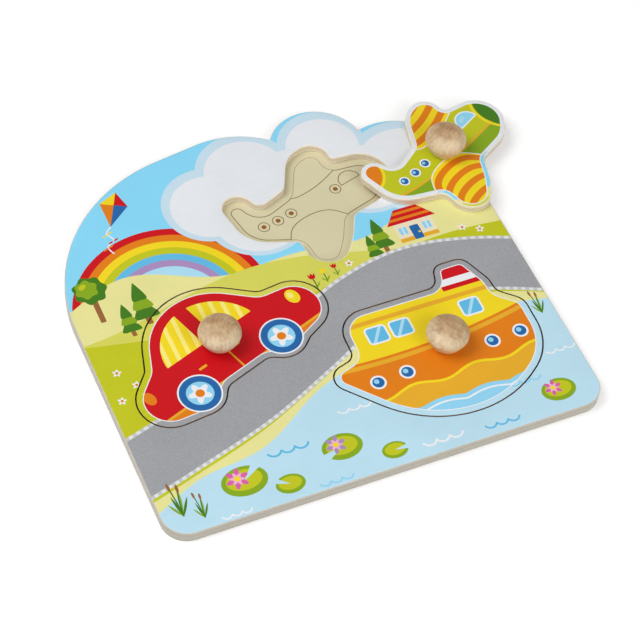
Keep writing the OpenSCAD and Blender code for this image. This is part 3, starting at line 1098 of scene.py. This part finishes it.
def ply_edge(name, wood, roughness=0.62, scorched=False):
    """Sawn edge of the plywood in a wood's three colours. With painted shade on, the edge is painted darker
    where it faces along X and painted lighter where it faces along Y, as shade and light by the side it
    faces."""
    def paint(tree, place):
        share = node(tree, "Attribute", attribute_name="ply").outputs["Fac"]
        pale, dark, glue = (opaque(getattr(woods(), f"{wood}_{part}")) for part in ("pale", "dark", "glue"))
        toned, height = sawn_plies(tree, Vector=place, Share=share, Pale=pale, Dark=dark, Glue=glue)
        if scorched:
            # Painted shade and light by facing: a wall that faces along X is darkened, one that faces along
            # Y lightened
            across = node(tree, "Attribute", attribute_name="across").outputs["Fac"]
            toned = dappled(tree, 1.0, toned, across, (0.2, 1.15), (0.8, 0.4))
        return toned, height
    return finished(name, paint, depth=2e-4, strength=0.3, Roughness=roughness, Specular_IOR_Level=0.4)


def slab_finishes():
    """Materials of a slab in order. The board's outer edge is sealed, and narrow saw lines carry painted
    shade.
    """
    return [
        printed_face(),
        raw_veneer(),
        ply_edge("Sawn edge", "ply"),
        ply_edge("Scorched edge", "scorch", scorched=True),
        ply_edge("Sealed edge", "rim", 0.38),
    ]


# Where the pith lies from a knob's middle, in metres, and the turn that lays its fibres along X, in degrees.
# The turn also tips the darker crown a little toward the knob's back, where it paints shade.
KNOB_WOOD = {
    "car": ((0, 0.011, 0.014), (0, 83, -12)),
    "boat": ((0, -0.006, 0.015), (0, 80, -9)),
    "airplane": ((0, -0.015, -0.010), (0, 86, -15)),
}
# Where a knob's darker crown, end grain with painted shade, starts and is full along the fibres, and how far
# that wavers, in metres
CROWN_START, CROWN_FULL, CROWN_WAVER = 0.0005, 0.0105, 0.014


def turned_wood(vehicle):
    """Beech of one knob, with its fibres nearly upright along the X axis of the grain. The pith lies off
    the knob, so rings cross the crown as arcs and streak the sides. The crown, far along the fibres, is
    darker: end grain, tipped a little toward the back, where it also paints the shade of the knob's far
    side."""
    def paint(tree, place):
        pith, turn = KNOB_WOOD[vehicle]
        low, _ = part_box(f"{vehicle}_knob")
        middle = (*-knob_axis(vehicle) * MM, -low.z - sizes().belly)
        centred = mapped(tree, place, Location=middle)
        laid = mapped(tree, centred, Location=pith, Rotation=tuple(map(math.radians, turn)))
        light, dark = opaque(woods().beech), opaque(woods().beech_dark)
        toned, height = wood_grain(tree, Vector=laid, Light=light, Dark=dark, Rings=0.45)
        waver = about(tree, noise(tree, laid, 150.0, 6.0, 0.65), 0.5, CROWN_WAVER)
        along = sums(tree, "ADD", axis_of(tree, laid, "X"), waver)
        crown = node(tree, "MapRange", [
            (0, along), (1, CROWN_START), (2, CROWN_FULL),
        ], interpolation_type="SMOOTHSTEP").outputs[0]
        # The crown's tint multiplies in: end grain, and painted shade on the knob's far side
        return mixed(tree, crown, toned, opaque(woods().end_grain_and_shade), "MULTIPLY"), height
    name = f"Turned beech {vehicle}"
    return finished(name, paint, depth=1e-4, strength=0.1, Roughness=0.5, Specular_IOR_Level=0.35)


def screw_steel():
    """Plated steel with faint turning marks, and smudges that dull it."""
    def paint(tree, place):
        steel = woods().steel
        smudge = noise(tree, place, 300.0, 2.0)
        toned = mixed(tree, smudge, opaque(steel), opaque(0.6 * steel))
        return toned, noise(tree, place, 1800.0, 3.0), between(tree, smudge, 0.22, 0.42)
    return finished("Screw steel", paint, depth=5e-5, strength=0.3, Metallic=1.0)


# Operators, one for each piece or group of like pieces

class PUZZLE_OT_front_panel(bpy.types.Operator):
    """Front panel of the board, printed, with the three cut-outs"""

    bl_idname = "puzzle.front_panel"
    bl_label = "Front panel"

    def execute(self, context):
        walls = (SEALED, SHADED_SAW_LINE, SHADED_SAW_LINE, SAWN)
        mesh = slab("front_panel", "front_board", board_picture(), walls, ease_bottom=False)
        show("front_panel", mesh, "board", "front_board", slab_finishes())
        return {"FINISHED"}


class PUZZLE_OT_back_panel(bpy.types.Operator):
    """Back panel, which is the floor of the cut-outs, with a drawing in each"""

    bl_idname = "puzzle.back_panel"
    bl_label = "Back panel"

    def execute(self, context):
        layers = areas(("floor", block(0, 0, SHEET, SHEET)))
        for vehicle in VEHICLES:
            edge = piece_edge(vehicle)
            _, parts, rounds = PICTURES[vehicle](edge)
            layers += placed(line_drawing(edge, parts, rounds), tilt(vehicle), cutout_place(vehicle))
        mesh = slab("back_panel", "back_board", layers, (SEALED,), ease_top=False)
        show("back_panel", mesh, "board", "back_board", slab_finishes())
        return {"FINISHED"}


class PUZZLE_OT_vehicles(bpy.types.Operator):
    """The three vehicle pieces. The board's print runs on over their margins, as if sawn from one sheet"""

    bl_idname = "puzzle.vehicles"
    bl_label = "Vehicle pieces"

    def execute(self, context):
        for vehicle in VEHICLES:
            name, solid = f"{vehicle}_figure", f"{vehicle}_piece"
            edge = piece_edge(vehicle)
            figure, *_ = PICTURES[vehicle](edge)
            ground = placed(placed(board_picture(), 0, -cutout_place(vehicle)), -tilt(vehicle), (0, 0))
            near = [layer for layer in ground if reaches(layer.outline, edge)]
            layers = placed(near + figure, rest_tilt(vehicle), knob_axis(vehicle))
            low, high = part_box(f"{vehicle}_screw")
            hole = disc(*knob_axis(vehicle), (high.x - low.x) / MM / 2 + mm("screw_gap"))[::-1]
            # The car and the boat sit in narrow saw lines, whose walls carry painted shade
            wall = SAWN if vehicle == "airplane" else SHADED_SAW_LINE
            mesh = slab(name, solid, layers, (wall, SAWN), [hole])
            show(name, mesh, vehicle, solid, slab_finishes())
        return {"FINISHED"}


class PUZZLE_OT_knobs(bpy.types.Operator):
    """The three turned knobs"""

    bl_idname = "puzzle.knobs"
    bl_label = "Knobs"

    def execute(self, context):
        for vehicle in VEHICLES:
            name, solid = f"{vehicle}_peg", f"{vehicle}_knob"
            low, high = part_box(solid)
            bottom, top = levels(solid)
            profile = knob_profile((high.x - low.x) / MM, top - bottom)
            mesh = lathe(name, profile, knob_axis(vehicle), bottom)
            show(name, mesh, vehicle, solid, [turned_wood(vehicle)])
        return {"FINISHED"}


class PUZZLE_OT_screws(bpy.types.Operator):
    """The three screws under the knobs, which keep the frame's own shape"""

    bl_idname = "puzzle.screws"
    bl_label = "Screws"

    def execute(self, context):
        for vehicle in VEHICLES:
            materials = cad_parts[f"{vehicle}_screw"].data.materials
            materials.clear()
            materials.append(screw_steel())
        return {"FINISHED"}


# The floor is clear to rays that are shorter than this, in metres
CLEAR_BELOW = 0.001


class PUZZLE_OT_stage(bpy.types.Operator):
    """White floor, soft lamps and the camera"""

    bl_idname = "puzzle.stage"
    bl_label = "Stage"

    def execute(self, context):
        scene, stage = context.scene, context.scene.puzzle_stage
        scene.view_settings.view_transform = "Standard"
        scene.camera = into_scene("Camera", bpy.data.cameras.new("Camera"))
        scene.camera.data.lens = stage.lens
        scene.camera.location = stage.eye
        scene.camera.rotation_euler = stage.turn
        for name in ("key", "fill"):
            lamp = bpy.data.lights.new(name.capitalize(), "AREA")
            lamp.energy = getattr(stage, name)
            lamp.size = stage.lamp
            holder = into_scene(lamp.name, lamp)
            holder.location = getattr(stage, f"{name}_place")
            holder.rotation_euler = holder.location.to_track_quat("Z", "Y").to_euler()
        scene.world = bpy.data.worlds.new("Studio")
        scene.world.use_nodes = True
        self.light_all_round(scene.world.node_tree, stage)
        self.lay_floor(stage)
        return {"FINISHED"}

    @staticmethod
    def looked_at(tree, path):
        """Mask of the rays that look at the background, from the camera, off mirrors or through glass."""
        rays = (path[f"Is {kind} Ray"] for kind in ("Camera", "Glossy", "Transmission"))
        return sums(tree, "MAXIMUM", *rays)

    def light_all_round(self, tree, stage):
        """The world: white to the camera and to mirrors. To everything else it is an even light from above,
        and another from below the horizon, which the floor keeps from all but the underside."""
        seen = self.looked_at(tree, node(tree, "LightPath").outputs)
        height = axis_of(tree, node(tree, "TexCoord").outputs["Generated"], "Z")
        below = sums(tree, "LESS_THAN", height, 0.0)
        even = between(tree, below, stage.ambient, stage.underlight)
        strength = between(tree, seen, even, 1.0)
        feed(tree, tree.nodes["Background"].inputs, [("Color", WHITE), ("Strength", strength)])

    def lay_floor(self, stage):
        """The floor: one large square just below the puzzle, white, a little brighter to the camera and to
        mirrors so that it meets the background. From below, and close under the puzzle, it is clear, so that
        the underside can be looked at."""
        corners = stage.floor / 2 * np.array([(-1, -1), (1, -1), (1, 1), (-1, 1)])
        mesh = bpy.data.meshes.new("Floor")
        mesh.from_pydata([(x, y, -stage.floor_drop) for x, y in corners.tolist()], [], [(0, 1, 2, 3)])
        material, tree, bsdf = shader("Floor white")
        path = node(tree, "LightPath").outputs
        lift = sums(tree, "MULTIPLY", self.looked_at(tree, path), stage.floor_lift)
        feed(tree, bsdf.inputs, [
            ("Base Color", (0.8, 0.8, 0.8, 1)), ("Roughness", 0.9), ("Specular IOR Level", 0.0),
            ("Emission Color", WHITE), ("Emission Strength", lift),
        ])
        close = sums(tree, "LESS_THAN", path["Ray Length"], CLEAR_BELOW)
        clear = sums(tree, "MAXIMUM", close, node(tree, "NewGeometry").outputs["Backfacing"])
        surface = node(tree, "MixShader", [
            (0, clear), (1, bsdf.outputs[0]), (2, node(tree, "BsdfTransparent").outputs[0]),
        ])
        tree.links.new(surface.outputs[0], tree.nodes["Material Output"].inputs["Surface"])
        mesh.materials.append(material)
        into_scene("Floor", mesh)


STEPS = ("front_panel", "back_panel", "vehicles", "knobs", "screws", "stage")
GROUPS = {
    "puzzle_inks": PuzzleInks, "puzzle_woods": PuzzleWoods, "puzzle_sizes": PuzzleSizes,
    "puzzle_stage": PuzzleStage,
}


class PUZZLE_PT_panel(bpy.types.Panel):
    """Lists the steps of the puzzle, and the sizes and colours that they use"""

    bl_idname = "PUZZLE_PT_panel"
    bl_label = "Peg puzzle"
    bl_space_type = "VIEW_3D"
    bl_region_type = "UI"
    bl_category = "Puzzle"

    def draw(self, context):
        for step in STEPS:
            self.layout.operator(f"puzzle.{step}")
        for pointer, kind in GROUPS.items():
            box = self.layout.box()
            for prop in kind.__annotations__:
                box.prop(getattr(context.scene, pointer), prop)


CLASSES = (
    *GROUPS.values(), PUZZLE_OT_front_panel, PUZZLE_OT_back_panel, PUZZLE_OT_vehicles, PUZZLE_OT_knobs,
    PUZZLE_OT_screws, PUZZLE_OT_stage, PUZZLE_PT_panel,
)


def register():
    """Registers the classes and hangs the property groups on the scene."""
    for kind in CLASSES:
        bpy.utils.register_class(kind)
    for pointer, kind in GROUPS.items():
        setattr(bpy.types.Scene, pointer, bpy.props.PointerProperty(type=kind))


def unregister():
    """Takes the property groups and the classes away again."""
    for pointer in GROUPS:
        delattr(bpy.types.Scene, pointer)
    for kind in reversed(CLASSES):
        bpy.utils.unregister_class(kind)


def main():
    """Builds every piece and the stage."""
    register()
    for step in STEPS:
        getattr(bpy.ops.puzzle, step)()


if __name__ == "__main__":
    main()
